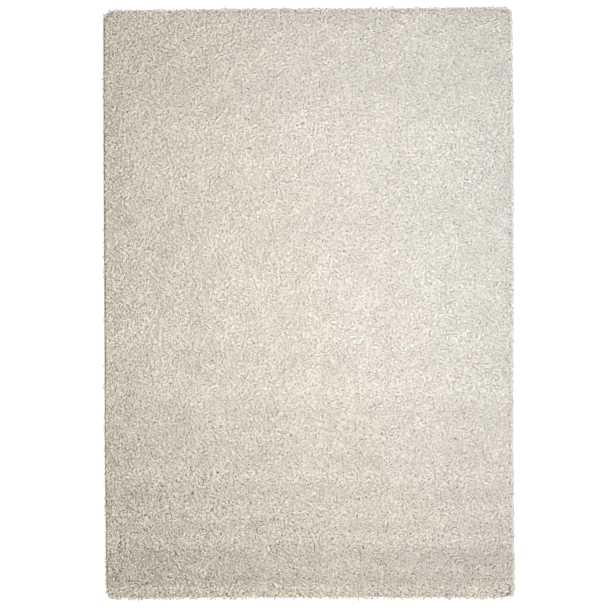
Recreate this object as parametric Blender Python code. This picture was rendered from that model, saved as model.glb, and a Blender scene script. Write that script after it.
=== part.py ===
"""Shag rug, 160 x 230 cm, lying flat: a ground cloth with its long cut pile, and the overlocked
edge sewn round it. Metres, +Z up, length along Y with the head at +Y, origin under its middle."""

import math
import random
from collections import namedtuple

import bmesh
import bpy
from mathutils import Vector, noise

# Driving dimensions
WIDTH = 1.600
LENGTH = 2.300
CLOTH = 0.004                # ground cloth and the latex that holds the yarn in it
PILE = 0.030                 # cut pile over the cloth
OVERLOCK = 0.0068            # yarn wrapped round the cloth's edge, measured across
GAP = 0.0003                 # between pieces that touch
STRAIGHT = 1e-6              # a bend under this many radians is no bend

# The pile's surface is a lattice of cells, with a short cell at each corner of the rug
CELLS_ACROSS = 30
CELLS_ALONG = 44
CORNER = 0.028               # length of the short cell along either side
SHIFT = 0.010                # how far a point of the lattice strays sideways
CLUMP = 0.0030               # how far it strays up or down
LUMP = 0.0042                # height of the broad lumps
LUMP_SIZE = 0.19             # and their size across
ROUGHER = 1.6                # the pile is this much lumpier at the foot's left corner
EDGE_FALL = 0.006            # how far the pile's surface droops along the cloth's edge
EDGE_WIDTH = 0.035           # and how fast that fades away from it

# Locks of pile that hang out over the edge
COLUMNS = 4                  # columns of the rim in one cell
CORNER_WIDE = 1.5            # a face of the rim over this many columns wide is at a corner of the rug
LOCK_EVERY = 2
LOCK_TAPER = (0.74, 0.52)    # each half of a lock is this much thinner than the one before
LOCK_RISE = (0.0008, -0.0050)
LOCK_LEAN = 0.0040           # how far one leans along the edge
LOCK_UNEVEN = 0.0030         # and how much longer or shorter it is than its neighbours
RIM_UNEVEN = 0.0018          # how far the points between two locks stray

# Edges of the cloth: how far each runs outside its straight line, or inside where it is less
# than 0. Cells count from the head on a long side, and from the left on a short one.
Bow = namedtuple("Bow", "cell out")
LEFT = (Bow(0, 0.001), Bow(11, 0.000), Bow(22, -0.003), Bow(33, -0.005), Bow(44, -0.011))
RIGHT = (Bow(0, -0.005), Bow(11, 0.001), Bow(22, 0.000), Bow(33, -0.001), Bow(44, 0.005))
HEAD = (Bow(0, -0.008), Bow(6, -0.003), Bow(12, 0.000), Bow(18, 0.002), Bow(24, 0.004), Bow(30, 0.007))
FOOT = (Bow(0, 0.004), Bow(6, 0.003), Bow(12, -0.001), Bow(18, 0.001), Bow(24, 0.000), Bow(30, 0.001))

# How much is missing from each corner, along X and along Y alike
CORNER_CUT = {"head_left": 0.0125, "head_right": 0.005, "foot_left": 0.008, "foot_right": 0.006}

# How far the locks reach past the cloth on each side, at its first and at its last cell
Reach = namedtuple("Reach", "first last")
LOCK_REACH = {"left": Reach(0.002, 0.005), "right": Reach(0.002, 0.003),
              "head": Reach(0.002, 0.002), "foot": Reach(0.006, 0.004)}

# The slab's section at its rim, from the pile's surface down to the floor. inset is measured in
# from the cloth's edge. The first ring lies on the pile's surface, so it has no height of its own.
Ring = namedtuple("Ring", "inset height")
SURFACE = Ring(0.0170, None)
SHOULDER = Ring(0.0115, 0.0245)
BROW = Ring(0.0045, 0.0095)
LEDGE = Ring(OVERLOCK + GAP, 0.0075)
SOLE = Ring(OVERLOCK + GAP, 0.0)
RINGS = (SURFACE, SHOULDER, BROW, LEDGE, SOLE)

# Low ridges right across the rug, where the pile stands up or has been rolled
Ridge = namedtuple("Ridge", "y rise spread")
RIDGES = (
    Ridge(y=0.890, rise=0.0018, spread=0.060),
    Ridge(y=0.790, rise=-0.0020, spread=0.050),
    Ridge(y=0.410, rise=0.0012, spread=0.070),
    Ridge(y=-0.200, rise=0.0016, spread=0.050),
    Ridge(y=-0.365, rise=0.0024, spread=0.055),
    Ridge(y=-0.480, rise=-0.0014, spread=0.050),
    Ridge(y=-0.690, rise=0.0024, spread=0.045),
    Ridge(y=-0.800, rise=-0.0014, spread=0.045),
    Ridge(y=-0.940, rise=0.0036, spread=0.040),
    Ridge(y=-1.020, rise=-0.0026, spread=0.035),
)

CREAM = (0.80, 0.76, 0.66)
TAUPE = (0.22, 0.20, 0.16)
PILE_ROUGHNESS = 0.95
OVERLOCK_ROUGHNESS = 0.90

SEED = 16                    # of the lumps and locks that stray by chance


def clear_scene():
    for thing in list(bpy.data.objects):
        bpy.data.objects.remove(thing, do_unlink=True)


def yarn_material(name, colour, roughness):
    material = bpy.data.materials.new(name)
    material.use_nodes = True
    shader = material.node_tree.nodes["Principled BSDF"]
    shader.inputs["Base Color"].default_value = (*colour, 1.0)
    shader.inputs["Roughness"].default_value = roughness
    shader.inputs["Metallic"].default_value = 0.0
    material.diffuse_color = (*colour, 1.0)
    return material


def mixed(start, end, share):
    return start + (end - start) * share


def bow_at(rows, cell):
    """How far an edge runs out at a cell, straight between the rows of its table."""
    cell = min(max(cell, rows[0].cell), rows[-1].cell)
    for before, after in zip(rows, rows[1:]):
        if cell <= after.cell:
            return mixed(before.out, after.out, (cell - before.cell) / (after.cell - before.cell))
    return rows[-1].out


def station(index, cells, length):
    """Where a line of the lattice crosses a side, as a share of it. Lines 0 and cells + 2 are the
    side's ends, and lines 1 and cells + 1 bound the short cells at the corners."""
    if index == 0:
        return 0.0
    if index == cells + 2:
        return 1.0
    return (CORNER + (length - 2 * CORNER) * (index - 1) / cells) / length


def cloth_corner(side_x, side_y):
    """The cloth's corner on side_x (-1 left, 1 right) and side_y (-1 foot, 1 head)."""
    long_side = RIGHT if side_x > 0 else LEFT
    short_side = HEAD if side_y > 0 else FOOT
    cut = CORNER_CUT[f"{'head' if side_y > 0 else 'foot'}_{'right' if side_x > 0 else 'left'}"]
    x = WIDTH / 2 + bow_at(long_side, 0 if side_y > 0 else CELLS_ALONG) - cut
    y = LENGTH / 2 + bow_at(short_side, CELLS_ACROSS if side_x > 0 else 0) - cut
    return Vector((side_x * x, side_y * y))


def cloth_outline():
    """The cloth's edge as (line across, line along, point), anticlockwise from the foot's left
    corner. Lines across count from the left, and lines along count from the foot."""
    last_x, last_y = CELLS_ACROSS + 2, CELLS_ALONG + 2
    low_x, high_x = -WIDTH / 2, WIDTH / 2
    low_y, high_y = -LENGTH / 2, LENGTH / 2
    outline = [(0, 0, cloth_corner(-1, -1))]
    for i in range(1, last_x):
        x = mixed(low_x, high_x, station(i, CELLS_ACROSS, WIDTH))
        outline.append((i, 0, Vector((x, low_y - bow_at(FOOT, i - 1)))))
    outline.append((last_x, 0, cloth_corner(1, -1)))
    for j in range(1, last_y):
        y = mixed(low_y, high_y, station(j, CELLS_ALONG, LENGTH))
        outline.append((last_x, j, Vector((high_x + bow_at(RIGHT, CELLS_ALONG + 1 - j), y))))
    outline.append((last_x, last_y, cloth_corner(1, 1)))
    for i in range(last_x - 1, 0, -1):
        x = mixed(low_x, high_x, station(i, CELLS_ACROSS, WIDTH))
        outline.append((i, last_y, Vector((x, high_y + bow_at(HEAD, i - 1)))))
    outline.append((0, last_y, cloth_corner(-1, 1)))
    for j in range(last_y - 1, 0, -1):
        y = mixed(low_y, high_y, station(j, CELLS_ALONG, LENGTH))
        outline.append((0, j, Vector((low_x - bow_at(LEFT, CELLS_ALONG + 1 - j), y))))
    return outline


def inward_steps(points):
    """For each point of an anticlockwise outline, the step that moves both its sides in by 1."""
    steps = []
    for before, point, after in zip(points[-1:] + points[:-1], points, points[1:] + points[:1]):
        first = (point - before).normalized().orthogonal()
        second = (after - point).normalized().orthogonal()
        steps.append((first + second) / (1 + first.dot(second)))
    return steps


def roughness_at(x, y):
    """How lumpy the pile is at a place: 1 at the head's right corner, ROUGHER at the foot's left."""
    return mixed(1.0, ROUGHER, (0.5 - x / WIDTH) * (0.5 - y / LENGTH))


def pile_top(x, y):
    """Height of the pile's surface, with its ridges, its broad lumps and the droop at its edge."""
    height = CLOTH + PILE
    for ridge in RIDGES:
        height += ridge.rise * math.exp(-((y - ridge.y) / ridge.spread) ** 2)
    height += LUMP * roughness_at(x, y) * noise.noise((x / LUMP_SIZE, y / LUMP_SIZE, 0.0))
    to_edge = min(WIDTH / 2 - abs(x), LENGTH / 2 - abs(y))
    return height - EDGE_FALL * math.exp(-to_edge / EDGE_WIDTH)


def slab_cage(bm):
    """A closed slab on a square lattice. Its points hold their line across, their line along and,
    as -Z, their ring of the rim. Returns the edges that run round the shoulder and the brow."""
    across, along = CELLS_ACROSS + 2, CELLS_ALONG + 2
    bmesh.ops.create_grid(bm, x_segments=across, y_segments=along, size=0.5)
    for vert in bm.verts:
        vert.co.x = round((vert.co.x + 0.5) * across)
        vert.co.y = round((vert.co.y + 0.5) * along)
    banded = []
    for ring in range(1, len(RINGS)):
        rim = [edge for edge in bm.edges if edge.is_boundary]
        made = bmesh.ops.extrude_edge_only(bm, edges=rim)["geom"]
        for vert in made:
            if isinstance(vert, bmesh.types.BMVert):
                vert.co.z = -ring
        if RINGS[ring] in (SHOULDER, BROW):
            banded += [edge for edge in bm.edges if edge.is_boundary]
    bmesh.ops.holes_fill(bm, edges=[edge for edge in bm.edges if edge.is_boundary], sides=0)
    return banded


def beside_corner(edge):
    """True for an edge of the rim that ends on one of the rug's corners."""
    ends = ((0, CELLS_ACROSS + 2), (0, CELLS_ALONG + 2))
    return any(round(v.co.x) in ends[0] and round(v.co.y) in ends[1] for v in edge.verts)


def set_slab_points(bm, outline, steps, chance):
    """Moves the cage's points from their lines on the lattice to their places on the rug."""
    rim = {(i, j): (point, step) for (i, j, point), step in zip(outline, steps)}
    last_x, last_y = CELLS_ACROSS + 2, CELLS_ALONG + 2
    for vert in bm.verts:
        i, j, ring = round(vert.co.x), round(vert.co.y), RINGS[-round(vert.co.z)]
        if (i, j) in rim:
            point, step = rim[i, j]
            x, y = point + step * ring.inset
            z = pile_top(x, y) if ring is SURFACE else ring.height
        else:
            x = mixed(rim[0, j][0].x, rim[last_x, j][0].x, station(i, CELLS_ACROSS, WIDTH))
            y = mixed(rim[i, 0][0].y, rim[i, last_y][0].y, station(j, CELLS_ALONG, LENGTH))
            inner = 2 <= i <= last_x - 2 and 2 <= j <= last_y - 2
            x += chance.uniform(-SHIFT, SHIFT) * inner
            y += chance.uniform(-SHIFT, SHIFT) * inner
            z = pile_top(x, y) + chance.uniform(-CLUMP, CLUMP) * roughness_at(x, y)
        vert.co = (x, y, z)


def rim_columns(bm):
    """The faces between the shoulder and the brow, in order round the rug. Those at its corners,
    which are wider, are left out."""
    height = (SHOULDER.height + BROW.height) / 2
    column = (LENGTH - 2 * CORNER) / CELLS_ALONG / COLUMNS
    middles = {face: face.calc_center_median() for face in bm.faces if len(face.verts) == 4}
    columns = [face for face, middle in middles.items() if abs(middle.z - height) < GAP
               and max(edge.calc_length() for edge in face.edges) < CORNER_WIDE * column]
    return sorted(columns, key=lambda face: math.atan2(middles[face].y, middles[face].x))


def lock_reach(middle):
    """How far the locks at a place on the rim reach past the cloth."""
    share_x = middle.x / WIDTH + 0.5
    share_y = 0.5 - middle.y / LENGTH
    if abs(middle.x) / WIDTH > abs(middle.y) / LENGTH:
        side, share = ("right" if middle.x > 0 else "left"), share_y
    else:
        side, share = ("head" if middle.y > 0 else "foot"), share_x
    return mixed(LOCK_REACH[side].first, LOCK_REACH[side].last, share)


def grow_lock(bm, face, chance):
    """Draws one face of the rim out into a tapering lock that droops over the edge."""
    middle = face.calc_center_median()
    outward = Vector((face.normal.x, face.normal.y, 0.0)).normalized()
    sideways = Vector((-outward.y, outward.x, 0.0)) * chance.uniform(-LOCK_LEAN, LOCK_LEAN)
    inset = (SHOULDER.inset + BROW.inset) / 2
    length = inset + lock_reach(middle) + chance.uniform(-LOCK_UNEVEN, LOCK_UNEVEN)
    for taper, rise in zip(LOCK_TAPER, LOCK_RISE):
        face = bmesh.ops.extrude_discrete_faces(bm, faces=[face])["faces"][0]
        step = outward * (length / 2) + sideways + Vector((0.0, 0.0, rise))
        for vert in face.verts:
            vert.co = middle + step + (vert.co - middle) * taper
        middle = middle + step


def make_pile(outline, steps):
    """The ground cloth and its pile: one lumpy slab with locks at its rim."""
    chance = random.Random(SEED)
    bm = bmesh.new()
    banded = slab_cage(bm)
    split = [edge for edge in banded if not beside_corner(edge)]
    set_slab_points(bm, outline, steps, chance)
    bmesh.ops.subdivide_edges(bm, edges=split, cuts=COLUMNS - 1, use_grid_fill=True)
    bmesh.ops.recalc_face_normals(bm, faces=bm.faces)
    columns = rim_columns(bm)
    rim_points = {vert for face in columns for vert in face.verts}
    for vert in bm.verts:
        if vert in rim_points:
            vert.co += Vector([chance.uniform(-RIM_UNEVEN, RIM_UNEVEN) for _ in range(3)])
    for face in columns[::LOCK_EVERY]:
        grow_lock(bm, face, chance)
    bmesh.ops.triangulate(bm, faces=[face for face in bm.faces if len(face.verts) > 4])
    mesh = bpy.data.meshes.new("shag_pile")
    bm.to_mesh(mesh)
    bm.free()
    return bpy.data.objects.new("shag_pile", mesh)


def make_overlock(name, path):
    """One side's overlocking: a round cord of wrapped yarn along the cloth's edge."""
    curve = bpy.data.curves.new(name, "CURVE")
    curve.dimensions = "3D"
    curve.bevel_depth = OVERLOCK / 2
    curve.bevel_resolution = 2
    curve.use_fill_caps = True
    spline = curve.splines.new("POLY")
    spline.points.add(len(path) - 1)
    for target, point in zip(spline.points, path):
        target.co = (point.x, point.y, OVERLOCK / 2, 1.0)
    return bpy.data.objects.new(name, curve)


def overlock_path(outline, steps, start, count):
    """The middle line of one side's overlocking, from one corner of the cloth to the next, cut
    back at both so that it meets its neighbour end to end."""
    total = len(outline)
    line = [outline[(start + k) % total][2] + steps[(start + k) % total] * (OVERLOCK / 2)
            for k in range(-1, count + 2)]
    ends = []
    for outside, corner, inside in ((line[0], line[1], line[2]), (line[-1], line[-2], line[-3])):
        turn = (corner - outside).angle(inside - corner)
        back = OVERLOCK / 2 * math.tan(turn / 2) + GAP / 2
        ends.append(corner + (inside - corner).normalized() * back)
    path = [ends[0]] + line[2:-2] + [ends[1]]
    straight = [path[0]]
    for before, point, after in zip(path, path[1:], path[2:]):
        if (point - before).angle(after - point) > STRAIGHT:
            straight.append(point)
    return straight + [path[-1]]


def make_rug():
    clear_scene()
    rug = bpy.data.collections.new("shag_rug")
    bpy.context.scene.collection.children.link(rug)
    outline = cloth_outline()
    steps = inward_steps([point for _, _, point in outline])

    pile = make_pile(outline, steps)
    pile.data.materials.append(yarn_material("cream pile yarn", CREAM, PILE_ROUGHNESS))
    rug.objects.link(pile)

    edge_yarn = yarn_material("taupe overlocking yarn", TAUPE, OVERLOCK_ROUGHNESS)
    start = 0
    for side, cells in (("foot", CELLS_ACROSS), ("right", CELLS_ALONG),
                        ("head", CELLS_ACROSS), ("left", CELLS_ALONG)):
        overlock = make_overlock(f"overlock_{side}", overlock_path(outline, steps, start, cells + 2))
        overlock.data.materials.append(edge_yarn)
        rug.objects.link(overlock)
        start += cells + 2


make_rug()
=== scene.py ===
import math
from collections import namedtuple

import bpy
import numpy as np
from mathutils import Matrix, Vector, noise
from mathutils.bvhtree import BVHTree


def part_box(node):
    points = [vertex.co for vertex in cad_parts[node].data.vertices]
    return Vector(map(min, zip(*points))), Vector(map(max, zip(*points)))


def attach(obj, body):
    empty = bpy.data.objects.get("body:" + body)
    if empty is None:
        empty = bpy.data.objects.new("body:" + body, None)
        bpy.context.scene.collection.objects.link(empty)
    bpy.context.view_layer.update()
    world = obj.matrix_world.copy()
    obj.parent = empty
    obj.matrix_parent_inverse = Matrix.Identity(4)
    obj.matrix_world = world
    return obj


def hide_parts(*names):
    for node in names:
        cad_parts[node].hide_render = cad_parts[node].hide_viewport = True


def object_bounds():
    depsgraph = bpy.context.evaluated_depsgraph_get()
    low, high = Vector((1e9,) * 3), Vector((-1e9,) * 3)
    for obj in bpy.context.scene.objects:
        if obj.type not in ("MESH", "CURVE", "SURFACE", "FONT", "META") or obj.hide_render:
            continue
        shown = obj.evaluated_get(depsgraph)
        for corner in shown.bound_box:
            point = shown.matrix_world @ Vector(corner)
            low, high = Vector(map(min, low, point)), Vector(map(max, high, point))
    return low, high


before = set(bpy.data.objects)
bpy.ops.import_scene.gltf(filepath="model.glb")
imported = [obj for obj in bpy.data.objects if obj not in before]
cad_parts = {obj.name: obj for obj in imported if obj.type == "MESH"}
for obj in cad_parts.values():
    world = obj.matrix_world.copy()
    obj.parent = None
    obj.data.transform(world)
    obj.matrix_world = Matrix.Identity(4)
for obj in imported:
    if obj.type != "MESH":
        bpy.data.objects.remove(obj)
cad_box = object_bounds()


# ---- Ground cloth -------------------------------------------------------------------------------
# A coarse plain-woven cloth, cut to 160 x 230 cm, that the pile is tufted through. A coat of latex
# on its back holds the yarn and makes it stiff enough to lie flat on the floor.
CLOTH_CUT = (1.600, 2.300)
CLOTH_THICK = 0.004
OVERLOCK = 0.0068               # overlocking round the cloth's edge, measured across
FITTING_GAP = 0.0003            # between the overlocking and the foot of the pile
WEAVE_PITCH = 0.0034            # from one warp end of the cloth to the next
FLOOR_LEVEL = 0.0001            # a point below this touches the floor
CLOTH_DARK = (0.30, 0.25, 0.17, 1)      # painted shade, down between its threads
CLOTH_PALE = (0.58, 0.50, 0.37, 1)
WEAVE_SHADE = 0.45              # how much painted shade the weave puts between its threads, for 1 of its uneven patches
MATTE_SPECULAR = 0.25           # of cloth and yarn alike, like the roughness of their sheen
SHEEN_ROUGHNESS = 0.5
WAVE_STRAIGHT = 20.0            # radians that a wave texture turns through in a metre at scale 1


def mesh_points(node):
    """The points of one of the rug's solids, as rows of x, y and z."""
    points = np.empty(len(node.data.vertices) * 3)
    node.data.vertices.foreach_get("co", points)
    return points.reshape(-1, 3)


def foot_of_pile():
    """The outline in which the pile's solid meets the floor, anticlockwise."""
    points = mesh_points(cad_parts["shag_pile"])
    touching = points[points[:, 2] < FLOOR_LEVEL, :2]
    corners = np.unique(touching.round(5), axis=0)
    return corners[np.argsort(np.arctan2(corners[:, 1], corners[:, 0]))]


def widened(outline, by):
    """The same outline moved outwards by that much, or inwards where it is negative."""
    ahead = np.roll(outline, -1, axis=0) - outline
    ahead /= np.linalg.norm(ahead, axis=1)[:, None]
    out_after = np.column_stack((ahead[:, 1], -ahead[:, 0]))
    out_before = np.roll(out_after, 1, axis=0)
    middle = out_before + out_after
    return outline + by * 2 * middle / (middle ** 2).sum(1)[:, None]


def add_piece(name, points, faces, smooth=True):
    """A new piece of the rug from its points and faces."""
    mesh = bpy.data.meshes.new(name)
    mesh.from_pydata(points, [], faces)
    mesh.polygons.foreach_set("use_smooth", [smooth] * len(mesh.polygons))
    piece = bpy.data.objects.new(name, mesh)
    bpy.context.scene.collection.objects.link(piece)
    return piece


def shader_nodes(name, roughness, sheen):
    """A new cloth or yarn material, with a function that adds a node to it and one that joins a
    node to its surface."""
    material = bpy.data.materials.new(name)
    material.use_nodes = True
    tree = material.node_tree
    surface = tree.nodes["Principled BSDF"]
    surface.inputs["Roughness"].default_value = roughness
    surface.inputs["Specular IOR Level"].default_value = MATTE_SPECULAR
    surface.inputs["Sheen Weight"].default_value = sheen
    surface.inputs["Sheen Roughness"].default_value = SHEEN_ROUGHNESS

    def add(kind, **settings):
        """Adds a node. A setting names a property or, after in_, a socket with what it takes."""
        made = tree.nodes.new("ShaderNode" + kind)
        for key, value in settings.items():
            if not key.startswith("in_"):
                setattr(made, key, value)
        for key, value in settings.items():
            if key.startswith("in_"):
                place = key[3:]
                socket = made.inputs[int(place) if place.isdigit() else place.replace("_", " ")]
                if isinstance(value, bpy.types.NodeSocket):
                    tree.links.new(value, socket)
                else:
                    socket.default_value = value
        return made

    def join(output, socket):
        """Feeds a node's output into that socket of the surface."""
        tree.links.new(output, surface.inputs[socket])

    return material, add, join


def cloth_material():
    """Plain weave in undyed yarn, greyed by the latex that has soaked into it, with painted shade down
    between its threads.
    """
    material, add, join = shader_nodes("latexed ground cloth", 0.9, 0.1)
    place = add("TexCoord").outputs["Object"]
    threads = 2 * math.pi / (WAVE_STRAIGHT * WEAVE_PITCH)
    warp = add("TexWave", bands_direction="X", in_Vector=place, in_Scale=threads, in_Distortion=0.6)
    weft = add("TexWave", bands_direction="Y", in_Vector=place, in_Scale=threads, in_Distortion=0.6)
    crossing = add("Math", operation="MULTIPLY", in_0=warp.outputs["Fac"], in_1=weft.outputs["Fac"])
    patches = add("TexNoise", in_Vector=place, in_Scale=9.0, in_Detail=3.0)
    shade = add("Math", operation="MULTIPLY_ADD", in_0=crossing.outputs[0], in_1=WEAVE_SHADE,
                in_2=patches.outputs["Fac"])
    colour = add("ValToRGB", in_0=shade.outputs[0])
    colour.color_ramp.elements[0].position = 0.35
    colour.color_ramp.elements[0].color = CLOTH_DARK
    colour.color_ramp.elements[1].position = 0.95
    colour.color_ramp.elements[1].color = CLOTH_PALE
    join(colour.outputs["Color"], "Base Color")
    relief = add("Bump", in_Strength=0.8, in_Distance=0.001, in_Height=crossing.outputs[0])
    join(relief.outputs["Normal"], "Normal")
    return material


foot = foot_of_pile()
cloth_edge = widened(foot, OVERLOCK / 2 + FITTING_GAP)
corners = len(cloth_edge)
cloth_points = [(x, y, z) for z in (0.0, CLOTH_THICK) for x, y in cloth_edge]
cloth_faces = [tuple(reversed(range(corners))), tuple(range(corners, 2 * corners))]
for corner in range(corners):
    after = (corner + 1) % corners
    cloth_faces.append((corner, after, corners + after, corners + corner))
ground_cloth = add_piece("ground_cloth", cloth_points, cloth_faces, smooth=False)
ground_cloth.data.materials.append(cloth_material())
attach(ground_cloth, "root")


# ---- Overlocking --------------------------------------------------------------------------------
# The cloth's raw edge is overlocked: yarn, coloured dark here, is wrapped round it, stitch beside
# stitch, by a serging machine, one side at a time.
STITCH_PITCH = 0.0050           # from one wrap of yarn to the next
STEPS_PER_STITCH = 2
STITCH_SLANT = 0.0016           # how far a wrap runs ahead on its way round the edge
GROOVE = 0.0010                 # depth between two wraps
AROUND = 8                      # points round the edge
OVERLOCK_DARK = (0.16, 0.145, 0.115, 1)
OVERLOCK_PALE = (0.28, 0.255, 0.205, 1)


def overlock_material():
    """Wrapped yarn, coloured dark, a little uneven in colour."""
    material, add, join = shader_nodes("overlock yarn", 0.85, 0.15)
    place = add("TexCoord").outputs["Object"]
    patches = add("TexNoise", in_Vector=place, in_Scale=60.0, in_Detail=4.0)
    colour = add("ValToRGB", in_0=patches.outputs["Fac"])
    colour.color_ramp.elements[0].position = 0.3
    colour.color_ramp.elements[0].color = OVERLOCK_DARK
    colour.color_ramp.elements[1].position = 0.7
    colour.color_ramp.elements[1].color = OVERLOCK_PALE
    join(colour.outputs["Color"], "Base Color")
    fibres = add("TexNoise", in_Vector=place, in_Scale=1400.0, in_Detail=2.0)
    relief = add("Bump", in_Strength=0.5, in_Distance=0.0004, in_Height=fibres.outputs["Fac"])
    join(relief.outputs["Normal"], "Normal")
    return material


def round_the_rug(outline, step):
    """Points every step or so round an outline, with the direction ahead at each."""
    closed = np.vstack((outline, outline[:1]))
    lengths = np.linalg.norm(np.diff(closed, axis=0), axis=1)
    reached = np.concatenate(([0.0], np.cumsum(lengths)))
    at = np.linspace(0, reached[-1], int(reached[-1] / step), endpoint=False)
    places = np.column_stack([np.interp(at, reached, closed[:, k]) for k in (0, 1)])
    ahead = np.roll(places, -2, axis=0) - np.roll(places, 2, axis=0)
    return places, ahead / np.linalg.norm(ahead, axis=1)[:, None]


def nearest_to(places, x, y):
    """Which of the places is nearest to that point."""
    return int(np.argmin(np.hypot(places[:, 0] - x, places[:, 1] - y)))


def wrapped_edge(name, places, ahead):
    """One side's overlocking: a round cord along those places, ridged by its wraps."""
    count = len(places)
    turn = np.arange(AROUND) * 2 * math.pi / AROUND
    outwards = np.column_stack((ahead[:, 1], -ahead[:, 0]))
    dent = np.where(np.arange(count) % STEPS_PER_STITCH == 0, GROOVE, 0.0)
    radius = (OVERLOCK / 2 - dent)[:, None]
    slant = STITCH_SLANT * np.cos(turn)[None, :]
    flat = (places[:, None, :] + outwards[:, None, :] * (radius * np.cos(turn))[:, :, None]
            + ahead[:, None, :] * slant[:, :, None])
    height = OVERLOCK / 2 + radius * np.sin(turn)
    points = np.concatenate((flat, height[:, :, None]), axis=2).reshape(-1, 3)
    faces = []
    for ring in range(count - 1):
        for k in range(AROUND):
            after = (k + 1) % AROUND
            a, b = ring * AROUND + k, ring * AROUND + after
            faces.append((a, b, b + AROUND, a + AROUND))
    faces.append(tuple(reversed(range(AROUND))))
    faces.append(tuple(range((count - 1) * AROUND, count * AROUND)))
    return add_piece(name, points.tolist(), faces)


rim_places, rim_ahead = round_the_rug(cloth_edge, STITCH_PITCH / STEPS_PER_STITCH)
half_width, half_length = CLOTH_CUT[0] / 2, CLOTH_CUT[1] / 2
foot_left = nearest_to(rim_places, -half_width, -half_length)
rim_places = np.roll(rim_places, -foot_left, axis=0)
rim_ahead = np.roll(rim_ahead, -foot_left, axis=0)
foot_right = nearest_to(rim_places, half_width, -half_length)
head_right = nearest_to(rim_places, half_width, half_length)
head_left = nearest_to(rim_places, -half_width, half_length)
SIDES = (("foot", 0, foot_right), ("right", foot_right, head_right),
         ("head", head_right, head_left), ("left", head_left, len(rim_places)))
overlock_yarn = overlock_material()
for side, start, end in SIDES:
    cord = wrapped_edge("wrapped_edge_" + side, rim_places[start:end], rim_ahead[start:end])
    cord.data.materials.append(overlock_yarn)
    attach(cord, "root")
    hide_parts("overlock_" + side)


# ---- Packed pile --------------------------------------------------------------------------------
# The lower part of the pile, where the tufts stand so close together that they read as one soft
# mass. It shows down between the yarn ends. Painted shade darkens it between its own ends, and a dark
# painted shade stands for each hollow that would run down to the cloth.
PACKED_BELOW = 0.0054           # how far it lies below the tips
PACKED_INSET = 0.0010           # from the foot of the pile to its edge
PACKED_LOWEST = 0.0060          # of its surface, above the floor
PACKED_STEP = 0.0150            # between the points of its surface
PACKED_LUMP = 0.0020            # height of its lumps
PACKED_LUMP_SIZE = 0.022        # and their size across
LONG_SIDE = 0.7                 # a point farther out than this share of half the width is on a long side
SHORT_SIDE = 0.9                # and of half the length, on a short one
FULL_HEIGHT_FROM = 0.0110       # nearer to the edge than this, tufts stand as high as they do here
PACKED_COLOUR = (0.88, 0.82, 0.70)
# painted shade that stands for a hollow down to the cloth
HOLLOW_PAINTED_SHADE = (0.27, 0.235, 0.165, 1)
PACKED_ENDS_A_METRE = 190.0
PACKED_END_SHADE = (1.02, 0.84)         # painted shade: the colour's scale in the middle of a packed end, and between two of them
PACKED_END_REACH = (0.25, 0.75)         # how far from its middle those are, for 1 of their spacing
HOLLOWS = 0.01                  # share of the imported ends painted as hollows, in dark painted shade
HOLLOW_FADE = 0.03              # share of them that are partly painted so
HOLLOWS_WHERE_OPEN = 0.22       # how much that share grows where the pile is open
OPEN_AT_LEFT = 0.2              # how open the pile stands on the left side
OPEN_CURVE = 1.3                # and the power by which it grows to that, from the right side
OPEN_AT_FOOT = (0.6, 1.1)       # how much more open it stands at the foot, on the right and on the left
OPEN_FROM = 0.62                # share of the rug's length, from the head, at which that starts
OPEN_OVER = 0.35                # and over which it grows
OPEN_PATCH = 0.045              # width of the patches in which the pile is more or less open
OPEN_PATCHES = 0.8              # and how strong they are
NEXT_LAYER = 7.3                # so far apart in the noise, two layers of it are unlike
TINY = 1e-9                     # stands in for a length of 0, which can't be divided by

pile_surface = BVHTree.FromObject(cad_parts["shag_pile"], bpy.context.evaluated_depsgraph_get())


def pile_heights(places):
    """The height of the pile's surface over each place on the rug."""
    high, down = cad_box[1].z + 1, Vector((0, 0, -1))
    hits = [pile_surface.ray_cast(Vector((x, y, high)), down)[0] for x, y in places]
    return np.array([0.0 if hit is None else hit.z for hit in hits])


def between(limits, share):
    """The value that lies at that share of the way from the first limit to the second."""
    return limits[0] + (limits[1] - limits[0]) * share


def nearest_edge(places):
    """How far each place is from the edge of the pile's foot, and the direction out to it."""
    steps = np.roll(foot, -1, axis=0) - foot
    best = np.full(len(places), np.inf)
    direction = np.zeros((len(places), 2))
    for start, step in zip(foot, steps):
        share = np.clip((places - start) @ step / (step @ step), 0, 1)
        apart = start + share[:, None] * step - places
        far = np.linalg.norm(apart, axis=1)
        nearer = far < best
        best[nearer] = far[nearer]
        direction[nearer] = apart[nearer] / np.maximum(far[nearer], TINY)[:, None]
    return best, direction


def standing_heights(places):
    """How high the pile stands at each place: full up to the rug's edge, where the solid slopes off."""
    from_edge, outwards = nearest_edge(places)
    return pile_heights(places - outwards * np.maximum(FULL_HEIGHT_FROM - from_edge, 0)[:, None])


def openness_at(places):
    """How open the pile stands: 0 at the head's right corner, and about 1.3 at the foot's left one."""
    from_right = np.clip(0.5 - places[:, 0] / CLOTH_CUT[0], 0, 1)
    from_head = 0.5 - places[:, 1] / CLOTH_CUT[1]
    to_foot = np.clip((from_head - OPEN_FROM) / OPEN_OVER, 0, 1)
    return OPEN_AT_LEFT * from_right ** OPEN_CURVE + between(OPEN_AT_FOOT, from_right) * to_foot


def unevenness(places, size, layer=0):
    """A smooth random value from about -1 to 1 at each place, in lumps of that size."""
    return np.array([noise.noise((x / size, y / size, NEXT_LAYER * layer)) for x, y in places])


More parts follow.
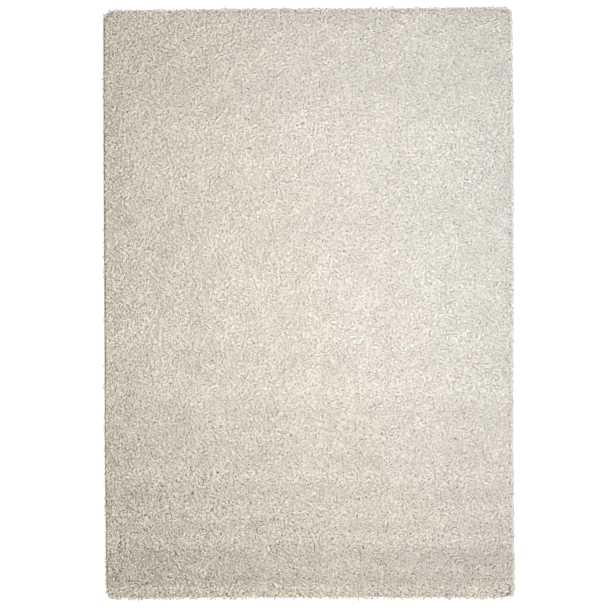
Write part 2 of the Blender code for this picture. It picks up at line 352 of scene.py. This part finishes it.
def packed_material():
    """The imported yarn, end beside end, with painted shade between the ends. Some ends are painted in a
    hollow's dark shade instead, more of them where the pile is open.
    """
    material, add, join = shader_nodes("packed yarn", 0.9, 0.1)
    place = add("TexCoord").outputs["Object"]
    packed_ends = add("TexVoronoi", in_Vector=place, in_Scale=PACKED_ENDS_A_METRE)
    opened = add("Attribute", attribute_name="open")
    lot = add("SeparateColor", in_Color=packed_ends.outputs["Color"])
    kept = add("Math", operation="MULTIPLY_ADD", in_0=opened.outputs["Fac"], in_1=-HOLLOWS_WHERE_OPEN,
               in_2=lot.outputs["Red"])
    filled = add("MapRange", in_0=kept.outputs[0], in_1=HOLLOWS, in_2=HOLLOWS + HOLLOW_FADE,
                 in_3=0.0, in_4=1.0)
    shade = add("MapRange", in_0=packed_ends.outputs["Distance"],
                in_1=PACKED_END_REACH[0], in_2=PACKED_END_REACH[1],
                in_3=PACKED_END_SHADE[0], in_4=PACKED_END_SHADE[1])
    ends_colour = add("VectorMath", operation="SCALE", in_0=PACKED_COLOUR, in_Scale=shade.outputs[0])
    # Painted shade: dark where a hollow would be, and darker between the packed ends
    colour = add("Mix", data_type="RGBA", in_0=filled.outputs[0], in_6=HOLLOW_PAINTED_SHADE,
                 in_7=ends_colour.outputs[0])
    join(colour.outputs[2], "Base Color")
    relief = add("Bump", in_Strength=1.0, in_Distance=0.003, in_Height=shade.outputs[0])
    join(relief.outputs["Normal"], "Normal")
    return material


def packed_pile():
    """A closed lumpy slab over the cloth, below the yarn ends."""
    inner = widened(foot, -PACKED_INSET)
    low, high = inner.min(0), inner.max(0)
    columns, rows = (int(n) + 1 for n in (high - low) / PACKED_STEP)
    across, along = np.meshgrid(np.linspace(0, 1, columns), np.linspace(0, 1, rows))
    left = inner[inner[:, 0] < -LONG_SIDE * half_width]
    right = inner[inner[:, 0] > LONG_SIDE * half_width]
    foot_end = inner[inner[:, 1] < -SHORT_SIDE * half_length]
    head_end = inner[inner[:, 1] > SHORT_SIDE * half_length]

    def line(points, axis, at):
        """Where the line through one side's points runs, at each value along that axis."""
        ordered = points[np.argsort(points[:, axis])]
        return np.interp(at, ordered[:, axis], ordered[:, 1 - axis])

    lengthwise = low[1] + along * (high - low)[1]
    x = between((line(left, 1, lengthwise), line(right, 1, lengthwise)), across)
    y = between((line(foot_end, 0, x), line(head_end, 0, x)), along)
    places = np.column_stack((x.ravel(), y.ravel()))
    lumps = PACKED_LUMP * unevenness(places, PACKED_LUMP_SIZE)
    z = np.maximum(standing_heights(places) - PACKED_BELOW + lumps, PACKED_LOWEST)
    top = np.column_stack((places, z))
    grid = np.arange(rows * columns).reshape(rows, columns)
    faces = [(grid[j, i], grid[j, i + 1], grid[j + 1, i + 1], grid[j + 1, i])
             for j in range(rows - 1) for i in range(columns - 1)]
    # Its sides go down from the surface's border to the cloth, where one flat face closes it
    border = np.concatenate((grid[0, :-1], grid[:-1, -1], grid[-1, :0:-1], grid[:0:-1, 0]))
    below = top[border].copy()
    below[:, 2] = CLOTH_THICK + FITTING_GAP
    first = rows * columns
    count = len(border)
    for k in range(count):
        after = (k + 1) % count
        faces.append((border[k], first + k, first + after, border[after]))
    faces.append(tuple(first + k for k in reversed(range(count))))
    return np.vstack((top, below)), [tuple(int(p) for p in face) for face in faces]


packed_points, packed_faces = packed_pile()
packed = add_piece("packed_pile", packed_points.tolist(), packed_faces)
packed_places = packed_points[:, :2]
opened = openness_at(packed_places) * (1 + OPEN_PATCHES * unevenness(packed_places, OPEN_PATCH, 5))
packed.data.attributes.new("open", "FLOAT", "POINT").data.foreach_set("value", opened.astype(np.float32))
packed.data.materials.append(packed_material())
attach(packed, "root")
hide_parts("shag_pile")


# ---- Yarn ends ----------------------------------------------------------------------------------
# The cut pile that shows: ends of thick frieze yarn, twisted hard and heat-set so that each one
# bends over its own way, tufted in rows and made here in six breadths. They lie over in faint bands
# from side to side, as on a rug that has been rolled up, and are painted paler where they lie over:
# painted light.
ROW_GAP = 0.0060                # between tufting rows, across the rug
TUFT_GAP = 0.0060               # between tufts in a row
TUFT_STRAY = 0.0025             # how far a tuft stands off its place
BREADTHS = 6
YARN_RADIUS = (0.0026, 0.0033)  # thinnest and thickest
YARN_LENGTH = 0.022             # of an end, for the winding of its plies
PLIES = 2
PLY_PITCH = 0.0065              # from one ply to the next, along the yarn
CUT_WIDTH = 0.75                # of the flattened cut end, each way, for that radius
ROLL = 0.5                      # how far a yarn may be rolled over from lying flat
REACH = (0.007, 0.019)          # how far an end leans over, least and most
CURL = 0.0022                   # how far it bends aside on its way
LEAST_HEIGHT = 0.0060           # of an end above its root
CUT_HEIGHT = (0.75, 1.00)       # lowest and highest that the cut comes, for that height
CUT_ASIDE = -0.6                # how far aside the cut comes, for the curl
FLOW_SIZE = 0.055               # ends within about this distance lean alike
FLOW = 0.7                      # and how strongly
PULL_OUT = 1.5                  # how strongly the ends near the edge lean out over it
BRUSHED_BACK = -0.8             # and on the left side, where they were brushed back from it
PULL_FADES = 0.010              # how fast that fades away from the edge
FACING_LEFT = -0.7              # an edge that faces this far left is the left side
BACK_FROM_EDGE = 0.0030         # an end brushed back may still reach this far towards the edge
LEAST_OUTWARDS = 0.05           # an end that leans less than this towards the edge counts as leaning so
UNEVEN_TIPS = (0.0004, 0.0026)  # how far tips are above or below the rest, in close and in open pile
UNEVEN_TONE = (0.005, 0.065)    # how much paler or darker one yarn is than the next, likewise
ROOT_DEPTH = 0.0030             # of an end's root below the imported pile's surface
NAP_REACH = 0.12                # how much further an end reaches where the pile lies over
NAP_PAINTED_LIGHT = 0.030                # and how much paler it is painted: painted light, for the light that pile lying over catches
YARN_ROOT_SHADE = (0.84, 0.79, 0.675, 1)      # at its root: painted shade, as the pile around a root shades it
YARN_PALE = (0.87, 0.83, 0.74, 1)       # at its cut
NECK_RISE = 0.75                # how far the neck's colour is from the painted root shade to the cut's colour
NOISE_SPAN = (0.3, 0.7)         # nearly all of a noise texture's values are between these
YARN_PATCHES = (0.96, 1.03)     # how much darker and paler the yarn is in broad patches
YARN_FLECKS = (0.94, 1.04)      # and in its fibres
FLECK_RELIEF = 0.4              # how much the fibres roughen it, for 1 of its plies
ATLAS_MARGIN = 0.06             # bare border of each yarn's own square in the colour map
WAVE_DIAGONAL = 10.0            # radians that a diagonal wave turns through in one unit at scale 1
TUFTING_SEED = 20261124         # of the chance that sets how each end stands and bends
STEEP = 1e-6                    # an end that leans over by less than this stands straight up

# The share of its reach, of its curl and of its height that an end has at one point: at its root,
# and at its neck, where it bends over.
Share = namedtuple("Share", "reach curl height")
AT_ROOT = Share(0.0, 0.0, 0.0)
YARN_NECK = Share(0.25, 0.3, 0.95)

# Bands in which the pile lies over (above 0) or stands (below 0), from the head to the foot: how
# far along the rug each is, how much the pile lies over in it, and half its width.
Nap = namedtuple("Nap", "y lie spread")
NAP_BANDS = (Nap(1.080, 0.45, 0.025), Nap(0.857, -0.70, 0.045), Nap(0.640, 0.45, 0.100),
             Nap(0.351, -0.35, 0.100), Nap(0.050, 0.30, 0.030), Nap(-0.143, 0.50, 0.022),
             Nap(-0.205, -0.55, 0.030), Nap(-0.331, 0.85, 0.030), Nap(-0.420, -0.55, 0.030),
             Nap(-0.610, -0.40, 0.035), Nap(-0.670, 1.20, 0.027), Nap(-0.743, -0.70, 0.025),
             Nap(-0.820, 0.70, 0.035), Nap(-0.876, -0.80, 0.018), Nap(-0.922, 1.30, 0.022),
             Nap(-0.988, -0.95, 0.035), Nap(-1.080, -1.50, 0.022), Nap(-1.118, 2.00, 0.020))


def nap_at(places):
    """How far the pile lies over, band by band along the rug, or below 0 where it stands."""
    return sum(band.lie * np.exp(-((places[:, 1] - band.y) / band.spread) ** 2) for band in NAP_BANDS)


def inside(places, outline):
    """Whether each place lies within the outline."""
    x, y = places[:, 0:1], places[:, 1:2]
    x1, y1 = outline[:, 0], outline[:, 1]
    x2, y2 = np.roll(x1, -1), np.roll(y1, -1)
    level = (y1 > y) != (y2 > y)
    rise = np.where(y2 == y1, 1.0, y2 - y1)
    return (level & (x < x1 + (y - y1) * (x2 - x1) / rise)).sum(1) % 2 == 1


def unit(rows):
    """The same directions, each with a length of 1."""
    return rows / np.maximum(np.linalg.norm(rows, axis=1), TINY)[:, None]


def bent_path(root, lean, reach, curl, low, high, neck, cut):
    """The root, neck and cut of each end. It leans that way from its root at height `low`, and gets
    up to `high` above that."""
    aside = np.column_stack((-lean[:, 1], lean[:, 0]))
    path = []
    for share in (AT_ROOT, neck, cut):
        flat = root + lean * (reach * share.reach)[:, None] + aside * (curl * share.curl)[:, None]
        path.append(np.column_stack((flat, low + high * share.height)))
    return path


def yarn_material():
    """Matte frieze yarn, darker towards its root with painted shade and paler towards its cut end, and
    ridged by the two plies it is twisted from.
    """
    material, add, join = shader_nodes("frieze yarn", 0.88, 0.2)
    place = add("TexCoord").outputs["Object"]
    patches = add("TexNoise", in_Vector=place, in_Scale=7.0, in_Detail=3.0, in_Roughness=0.6)
    flecks = add("TexNoise", in_Vector=place, in_Scale=420.0, in_Detail=2.0)
    rise = add("Attribute", attribute_name="rise")
    tone = add("Attribute", attribute_name="tone")
    # Painted shade: the yarn darkens from its cut towards its root, where the pile around it shades it
    mixed = add("Mix", data_type="RGBA", in_0=rise.outputs["Fac"], in_6=YARN_ROOT_SHADE, in_7=YARN_PALE)
    even = add("MapRange", in_0=patches.outputs["Fac"], in_1=NOISE_SPAN[0], in_2=NOISE_SPAN[1],
               in_3=YARN_PATCHES[0], in_4=YARN_PATCHES[1])
    fleck = add("MapRange", in_0=flecks.outputs["Fac"], in_1=NOISE_SPAN[0], in_2=NOISE_SPAN[1],
                in_3=YARN_FLECKS[0], in_4=YARN_FLECKS[1])
    both = add("Math", operation="MULTIPLY", in_0=even.outputs[0], in_1=fleck.outputs[0])
    toned = add("Math", operation="MULTIPLY", in_0=both.outputs[0], in_1=tone.outputs["Fac"])
    colour = add("VectorMath", operation="SCALE", in_0=mixed.outputs[2], in_Scale=toned.outputs[0])
    join(colour.outputs[0], "Base Color")
    round_yarn = add("UVMap", uv_map="yarn").outputs["UV"]
    turn = 2 * math.pi / WAVE_DIAGONAL
    plies = add("Mapping", in_Vector=round_yarn, in_Scale=(PLIES * turn, turn / PLY_PITCH, 1.0))
    winding = add("TexWave", bands_direction="DIAGONAL", in_Vector=plies.outputs[0], in_Scale=1.0)
    height = add("Math", operation="MULTIPLY_ADD", in_0=flecks.outputs["Fac"], in_1=FLECK_RELIEF,
                 in_2=winding.outputs["Fac"])
    relief = add("Bump", in_Strength=0.6, in_Distance=0.0006, in_Height=height.outputs[0])
    join(relief.outputs["Normal"], "Normal")
    return material


# The points of one end: its root, the three of its neck (top, right and left) and its cut end's two.
ROOT, TOP, RIGHT, LEFT, CUT_RIGHT, CUT_LEFT = range(6)
# Each of its faces, as (point, place across and along the end's own square in the colour map).
YARN_FACES = (
    ((ROOT, 0.17, 0.0), (RIGHT, 0.33, 0.40), (TOP, 0.0, 0.40)),
    ((ROOT, 0.50, 0.0), (LEFT, 0.67, 0.40), (RIGHT, 0.33, 0.40)),
    ((ROOT, 0.83, 0.0), (TOP, 1.0, 0.40), (LEFT, 0.67, 0.40)),
    ((TOP, 0.0, 0.42), (RIGHT, 0.33, 0.42), (CUT_RIGHT, 0.33, 1.0)),
    ((RIGHT, 0.34, 0.42), (LEFT, 0.66, 0.42), (CUT_LEFT, 0.66, 1.0), (CUT_RIGHT, 0.34, 1.0)),
    ((LEFT, 0.67, 0.42), (TOP, 1.0, 0.42), (CUT_LEFT, 0.67, 1.0)),
    ((TOP, 0.0, 0.48), (CUT_RIGHT, 0.30, 1.0), (CUT_LEFT, 0.0, 1.0)))


def yarn_piece(name, path, radius, tone, roll, root_rise=0.0):
    """One piece of many yarn ends. `path` holds each end's root, neck and cut: it rises to its neck,
    bends over there and is flattened where it was cut. `root_rise` lightens the painted shade at its
    root."""
    count = len(radius)
    root, neck, cut = path
    rising, leaning = unit(neck - root), unit(cut - neck)
    along = unit(rising + leaning)
    level = np.column_stack((-(cut - root)[:, 1], (cut - root)[:, 0], np.zeros(count)))
    level[np.linalg.norm(level, axis=1) < STEEP] = (1, 0, 0)
    side = unit(level - (level * along).sum(1)[:, None] * along)
    up = np.cross(along, side)

    def off_axis(turn, distance):
        """Steps away from the yarn's axis, at that turn round it."""
        sideways, upwards = np.cos(roll + turn)[:, None], np.sin(roll + turn)[:, None]
        return distance[:, None] * (sideways * side + upwards * up)

    ring = [neck + off_axis(turn, radius) for turn in (math.pi / 2, math.pi * 7 / 6, math.pi * 11 / 6)]
    across = off_axis(0.0, CUT_WIDTH * radius)
    points = np.stack([root] + ring + [cut - across, cut + across], axis=1)

    # The mesh, end after end
    points_each = points.shape[1]
    corners_of = [corner[0] for face in YARN_FACES for corner in face]
    map_of = np.array([corner[1:] for face in YARN_FACES for corner in face])
    corner = (np.arange(count)[:, None] * points_each + np.array(corners_of)).ravel()
    sizes = np.tile([len(face) for face in YARN_FACES], count)
    mesh = bpy.data.meshes.new(name)
    mesh.vertices.add(count * points_each)
    mesh.vertices.foreach_set("co", points.astype(np.float32).ravel())
    mesh.loops.add(len(corner))
    mesh.loops.foreach_set("vertex_index", corner.astype(np.int32))
    mesh.polygons.add(len(sizes))
    starts = np.concatenate(([0], np.cumsum(sizes)[:-1]))
    mesh.polygons.foreach_set("loop_start", starts.astype(np.int32))
    mesh.polygons.foreach_set("use_smooth", np.ones(len(sizes), bool))
    mesh.update(calc_edges=True)

    # A colour map with a square for each end, and a map that runs round and along its own yarn
    cells = math.ceil(math.sqrt(count))
    cell = np.column_stack((np.arange(count) % cells, np.arange(count) // cells))
    inner = ATLAS_MARGIN + (1 - 2 * ATLAS_MARGIN) * map_of
    atlas = (cell[:, None, :] + inner[None, :, :]) / cells
    mesh.uv_layers.new(name="OFBake").data.foreach_set("uv", atlas.astype(np.float32).ravel())
    wound = np.tile(map_of * (1, YARN_LENGTH), (count, 1))
    mesh.uv_layers.new(name="yarn").data.foreach_set("uv", wound.astype(np.float32).ravel())

    # rise runs from the painted root shade (0) to the cut's own colour (1)
    rise = np.tile((root_rise, NECK_RISE, NECK_RISE, NECK_RISE, 1.0, 1.0), count)
    for key, values in (("rise", rise), ("tone", np.repeat(tone, points_each))):
        mesh.attributes.new(key, "FLOAT", "POINT").data.foreach_set("value", values.astype(np.float32))
    piece = bpy.data.objects.new(name, mesh)
    bpy.context.scene.collection.objects.link(piece)
    piece.data.materials.append(frieze_yarn)
    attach(piece, "root")
    return piece


frieze_yarn = yarn_material()
chance = np.random.default_rng(TUFTING_SEED)


def yarn_ends():
    """Every end inside the rim: its place, its path, and how thick, pale and rolled over it is."""
    x = np.arange(-half_width, half_width, ROW_GAP)
    y = np.arange(-half_length, half_length, TUFT_GAP)
    grid_x, grid_y = np.meshgrid(x, y, indexing="ij")
    places = np.column_stack((grid_x.ravel(), grid_y.ravel()))
    places += chance.uniform(-TUFT_STRAY, TUFT_STRAY, places.shape)
    places = places[inside(places, foot)]
    count = len(places)
    from_edge, outwards = nearest_edge(places)
    surface = standing_heights(places)
    opened, nap = openness_at(places), nap_at(places)

    heading = chance.uniform(0, 2 * math.pi, count)
    flow = np.column_stack([unevenness(places, FLOW_SIZE, layer) for layer in (1, 2)])
    lean = np.column_stack((np.cos(heading), np.sin(heading))) + FLOW * flow
    on_left = outwards[:, 0] < FACING_LEFT
    pull = np.where(on_left, BRUSHED_BACK, PULL_OUT) * np.exp(-from_edge / PULL_FADES)
    lean = unit(lean + pull[:, None] * outwards)
    reach = chance.uniform(*REACH, count) * (1 + NAP_REACH * nap)
    goes_out = np.maximum((lean * outwards).sum(1), LEAST_OUTWARDS)
    room = np.maximum(from_edge, BACK_FROM_EDGE) / goes_out
    reach = np.where(on_left, np.minimum(reach, room), reach)
    curl = chance.normal(0, CURL, count)

    top = surface + chance.normal(0, 1, count) * between(UNEVEN_TIPS, opened)
    low = np.maximum(surface - PACKED_BELOW - ROOT_DEPTH, CLOTH_THICK)
    high = np.maximum(top - low, LEAST_HEIGHT)
    cut = Share(1.0, CUT_ASIDE, chance.uniform(*CUT_HEIGHT, count))
    path = bent_path(places, lean, reach, curl, low, high, YARN_NECK, cut)
    radius = chance.uniform(*YARN_RADIUS, count)
    # The nap's part of the tone is painted light: paler where the pile lies over
    tone = 1 + chance.normal(0, 1, count) * between(UNEVEN_TONE, opened) + NAP_PAINTED_LIGHT * nap
    return places, path, radius, tone, chance.uniform(-ROLL, ROLL, count)


places, path, radius, tone, roll = yarn_ends()
breadth = np.clip(((places[:, 0] / CLOTH_CUT[0] + 0.5) * BREADTHS).astype(int), 0, BREADTHS - 1)
for number in range(BREADTHS):
    here = breadth == number
    yarn_piece("pile_breadth_%d" % (number + 1), [p[here] for p in path],
                                  radius[here], tone[here], roll[here])


# ---- Yarn over the rim --------------------------------------------------------------------------
# The outermost tufts have nothing to lean on, so their ends fall outwards over the overlocking. On
# the left side most of them were brushed back, and the overlocking shows as a thin dark line.
RIM_TUFT_GAP = 0.0048           # between tufts along the edge
RIM_TUFT_STRAY = 0.0025         # how far a tuft stands off its place there
RIM_INSETS = (0.0010, 0.0045, 0.0080)   # of the three outermost rows, from the foot of the pile
FALL_WHERE_OPEN = 3.0           # how much more of them fall where the pile stands open

# The share of each row's ends that fall past the edge, how far they reach past it, how unevenly,
# and how much paler or darker they are painted than the rest of the pile: painted light on the right
# side, which the light falls on, and painted shade on the others.
Rim = namedtuple("Rim", "falls past uneven tone")
RIMS = {"left": Rim((0.04, 0.03, 0.03), 0.0040, 0.0028, 0.96),
        "right": Rim((0.98, 0.96, 0.94), 0.0082, 0.0013, 1.07),
        "head": Rim((0.50, 0.25, 0.25), 0.0050, 0.0020, 0.98),
        "foot": Rim((0.08, 0.05, 0.05), 0.0035, 0.0026, 0.96)}
FALLEN_HEIGHT = (0.015, 0.023)  # of an end that falls, above the cloth
FALLEN_CUT = (0.25, 0.60)       # how high its cut comes, for that height
LEANING_HEIGHT = (0.019, 0.027)         # the same of an end that only leans
LEANING_CUT = (0.45, 0.80)
LEANING_REACH = (0.003, 0.006)  # how far that one leans over
LEANING_OUT = 0.3               # how much of its lean is outwards, for 1 of an end that falls
SWAY = 0.5                      # how far ends turn aside along the edge, for that
RIM_CURL = 0.0018               # how far they bend aside on their way
RIM_CUT_ASIDE = -0.5            # how far aside the cut comes, for the curl
RIM_NECK = Share(0.55, 0.4, 0.90)
RIM_THIN = 0.92                 # thickness of an end here, for 1 inside the rim
RIM_TONE = 0.05                 # how much paler or darker one is than the next
RIM_ROOT_RISE = 0.6             # how far its root's colour is from the painted root shade to the pale one


def rim_piece(side, start, end):
    """The ends along one side, from one corner to the next."""
    every = int(round(RIM_TUFT_GAP / (STITCH_PITCH / STEPS_PER_STITCH)))
    roots, leans, reaches, heights, cuts = [], [], [], [], []
    for inset, share in zip(RIM_INSETS, RIMS[side].falls):
        on_edge = rim_places[start:end:every]
        ahead = rim_ahead[start:end:every]
        out = np.column_stack((ahead[:, 1], -ahead[:, 0]))
        count = len(on_edge)
        place = on_edge - out * (OVERLOCK / 2 + FITTING_GAP + inset)
        place += ahead * chance.uniform(-RIM_TUFT_STRAY, RIM_TUFT_STRAY, count)[:, None]
        falls = chance.uniform(0, 1, count) < share * (1 + FALL_WHERE_OPEN * openness_at(place))
        past = RIMS[side].past + chance.normal(0, RIMS[side].uneven, count)
        full = OVERLOCK + FITTING_GAP + inset + past
        reaches.append(np.where(falls, full, chance.uniform(*LEANING_REACH, count)))
        heights.append(np.where(falls, chance.uniform(*FALLEN_HEIGHT, count),
                                chance.uniform(*LEANING_HEIGHT, count)))
        droop = chance.uniform(0, 1, count)
        cuts.append(np.where(falls, between(FALLEN_CUT, droop), between(LEANING_CUT, droop)))
        roots.append(place)
        outwards = out * np.where(falls, 1.0, LEANING_OUT)[:, None]
        leans.append(unit(outwards + ahead * chance.normal(0, SWAY, count)[:, None]))
    root, lean = np.vstack(roots), np.vstack(leans)
    count = len(root)
    curl = chance.normal(0, RIM_CURL, count)
    cut = Share(1.0, RIM_CUT_ASIDE, np.concatenate(cuts))
    path = bent_path(root, lean, np.concatenate(reaches), curl, CLOTH_THICK, np.concatenate(heights),
                     RIM_NECK, cut)
    radius = chance.uniform(*YARN_RADIUS, count) * RIM_THIN
    # Each side's tone is painted: light on the right side, shade on the head, foot and left
    tone = chance.normal(RIMS[side].tone, RIM_TONE, count)
    roll = chance.uniform(-ROLL, ROLL, count)
    return yarn_piece("rim_yarn_" + side, path, radius, tone, roll, root_rise=RIM_ROOT_RISE)


for side, start, end in SIDES:
    rim_piece(side, start, end)


# ---- Floor, light and camera --------------------------------------------------------------------
# A white studio floor under a wide soft light. A weak warm light on the rug's left, a weak cool one
# on its right and one far out to the right add to it. The camera is high over the rug's middle and
# looks straight down.
FLOOR_HALF = 30.0
FLOOR_WHITE = (0.9, 0.9, 0.9, 1)
FLOOR_GLOW = 0.5                # burns it out to plain white, as in the photo
SURROUND_WHITE = (1.0, 0.985, 0.96, 1)
SURROUND_LIGHT = 0.50
PHOTO_SIDE = 616                # the picture's side in pixels
METRES_PER_PIXEL = 0.00392      # at the height of the rug's rim
RUG_MIDDLE = (308.1, 303.5)     # where the rug's middle comes in the picture
LENS = 100.0                    # millimetres, on a sensor of 36
SENSOR = 36.0
RIM_HEIGHT = 0.010

floor_mesh = bpy.data.meshes.new("floor")
floor_corners = [(x * FLOOR_HALF, y * FLOOR_HALF, 0) for x, y in ((-1, -1), (1, -1), (1, 1), (-1, 1))]
floor_mesh.from_pydata(floor_corners, [], [(0, 1, 2, 3)])
floor = bpy.data.objects.new("floor", floor_mesh)
floor.location.z = -FITTING_GAP         # so that the cloth's back and the floor aren't in one plane
bpy.context.scene.collection.objects.link(floor)
floor_material = bpy.data.materials.new("white floor")
floor_material.use_nodes = True
floor_surface = floor_material.node_tree.nodes["Principled BSDF"]
floor_surface.inputs["Base Color"].default_value = FLOOR_WHITE
floor_surface.inputs["Roughness"].default_value = 0.9
floor_surface.inputs["Specular IOR Level"].default_value = 0.1
floor_surface.inputs["Emission Color"].default_value = (1, 1, 1, 1)
floor_surface.inputs["Emission Strength"].default_value = FLOOR_GLOW
floor.data.materials.append(floor_material)

surround = bpy.data.worlds.new("studio")
surround.use_nodes = True
surround.node_tree.nodes["Background"].inputs["Color"].default_value = SURROUND_WHITE
surround.node_tree.nodes["Background"].inputs["Strength"].default_value = SURROUND_LIGHT
bpy.context.scene.world = surround
bpy.context.scene.view_settings.view_transform = "Standard"


def softbox(name, size, energy, colour, location, aim):
    """A rectangular soft light, which the camera doesn't see."""
    light = bpy.data.lights.new(name, "AREA")
    light.shape = "RECTANGLE"
    light.size, light.size_y = size
    light.energy = energy
    light.color = colour
    lamp = bpy.data.objects.new(name, light)
    lamp.location = location
    lamp.rotation_euler = (Vector(aim) - lamp.location).to_track_quat("-Z", "Y").to_euler()
    lamp.visible_camera = False
    bpy.context.scene.collection.objects.link(lamp)


softbox("overhead", size=(1.2, 2.6), energy=31.7, colour=(1.0, 1.0, 1.0),
        location=(0.23, 0.05, 1.7), aim=(0.23, 0.05, 0.0))
softbox("warm_left", size=(2.0, 2.6), energy=4.9, colour=(1.0, 0.70, 0.05),
        location=(-0.60, -0.60, 1.7), aim=(-0.60, -0.60, 0.0))
softbox("cool_right", size=(1.0, 1.6), energy=4.75, colour=(0.12, 0.36, 1.0),
        location=(0.76, 0.22, 1.5), aim=(0.76, 0.22, 0.0))
softbox("from_the_right", size=(1.2, 1.2), energy=104, colour=(1.0, 1.0, 1.0),
        location=(7.0, 0.20, 4.2), aim=(0.0, 0.0, 0.0))

lens = bpy.data.cameras.new("camera")
lens.lens = LENS
lens.sensor_width = SENSOR
camera = bpy.data.objects.new("camera", lens)
rug_low, rug_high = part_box("shag_pile")
middle = (rug_low + rug_high) / 2
camera.location = (middle.x - (RUG_MIDDLE[0] - PHOTO_SIDE / 2) * METRES_PER_PIXEL,
                   middle.y + (RUG_MIDDLE[1] - PHOTO_SIDE / 2) * METRES_PER_PIXEL,
                   RIM_HEIGHT + PHOTO_SIDE * METRES_PER_PIXEL * LENS / SENSOR)
bpy.context.scene.collection.objects.link(camera)
bpy.context.scene.camera = camera
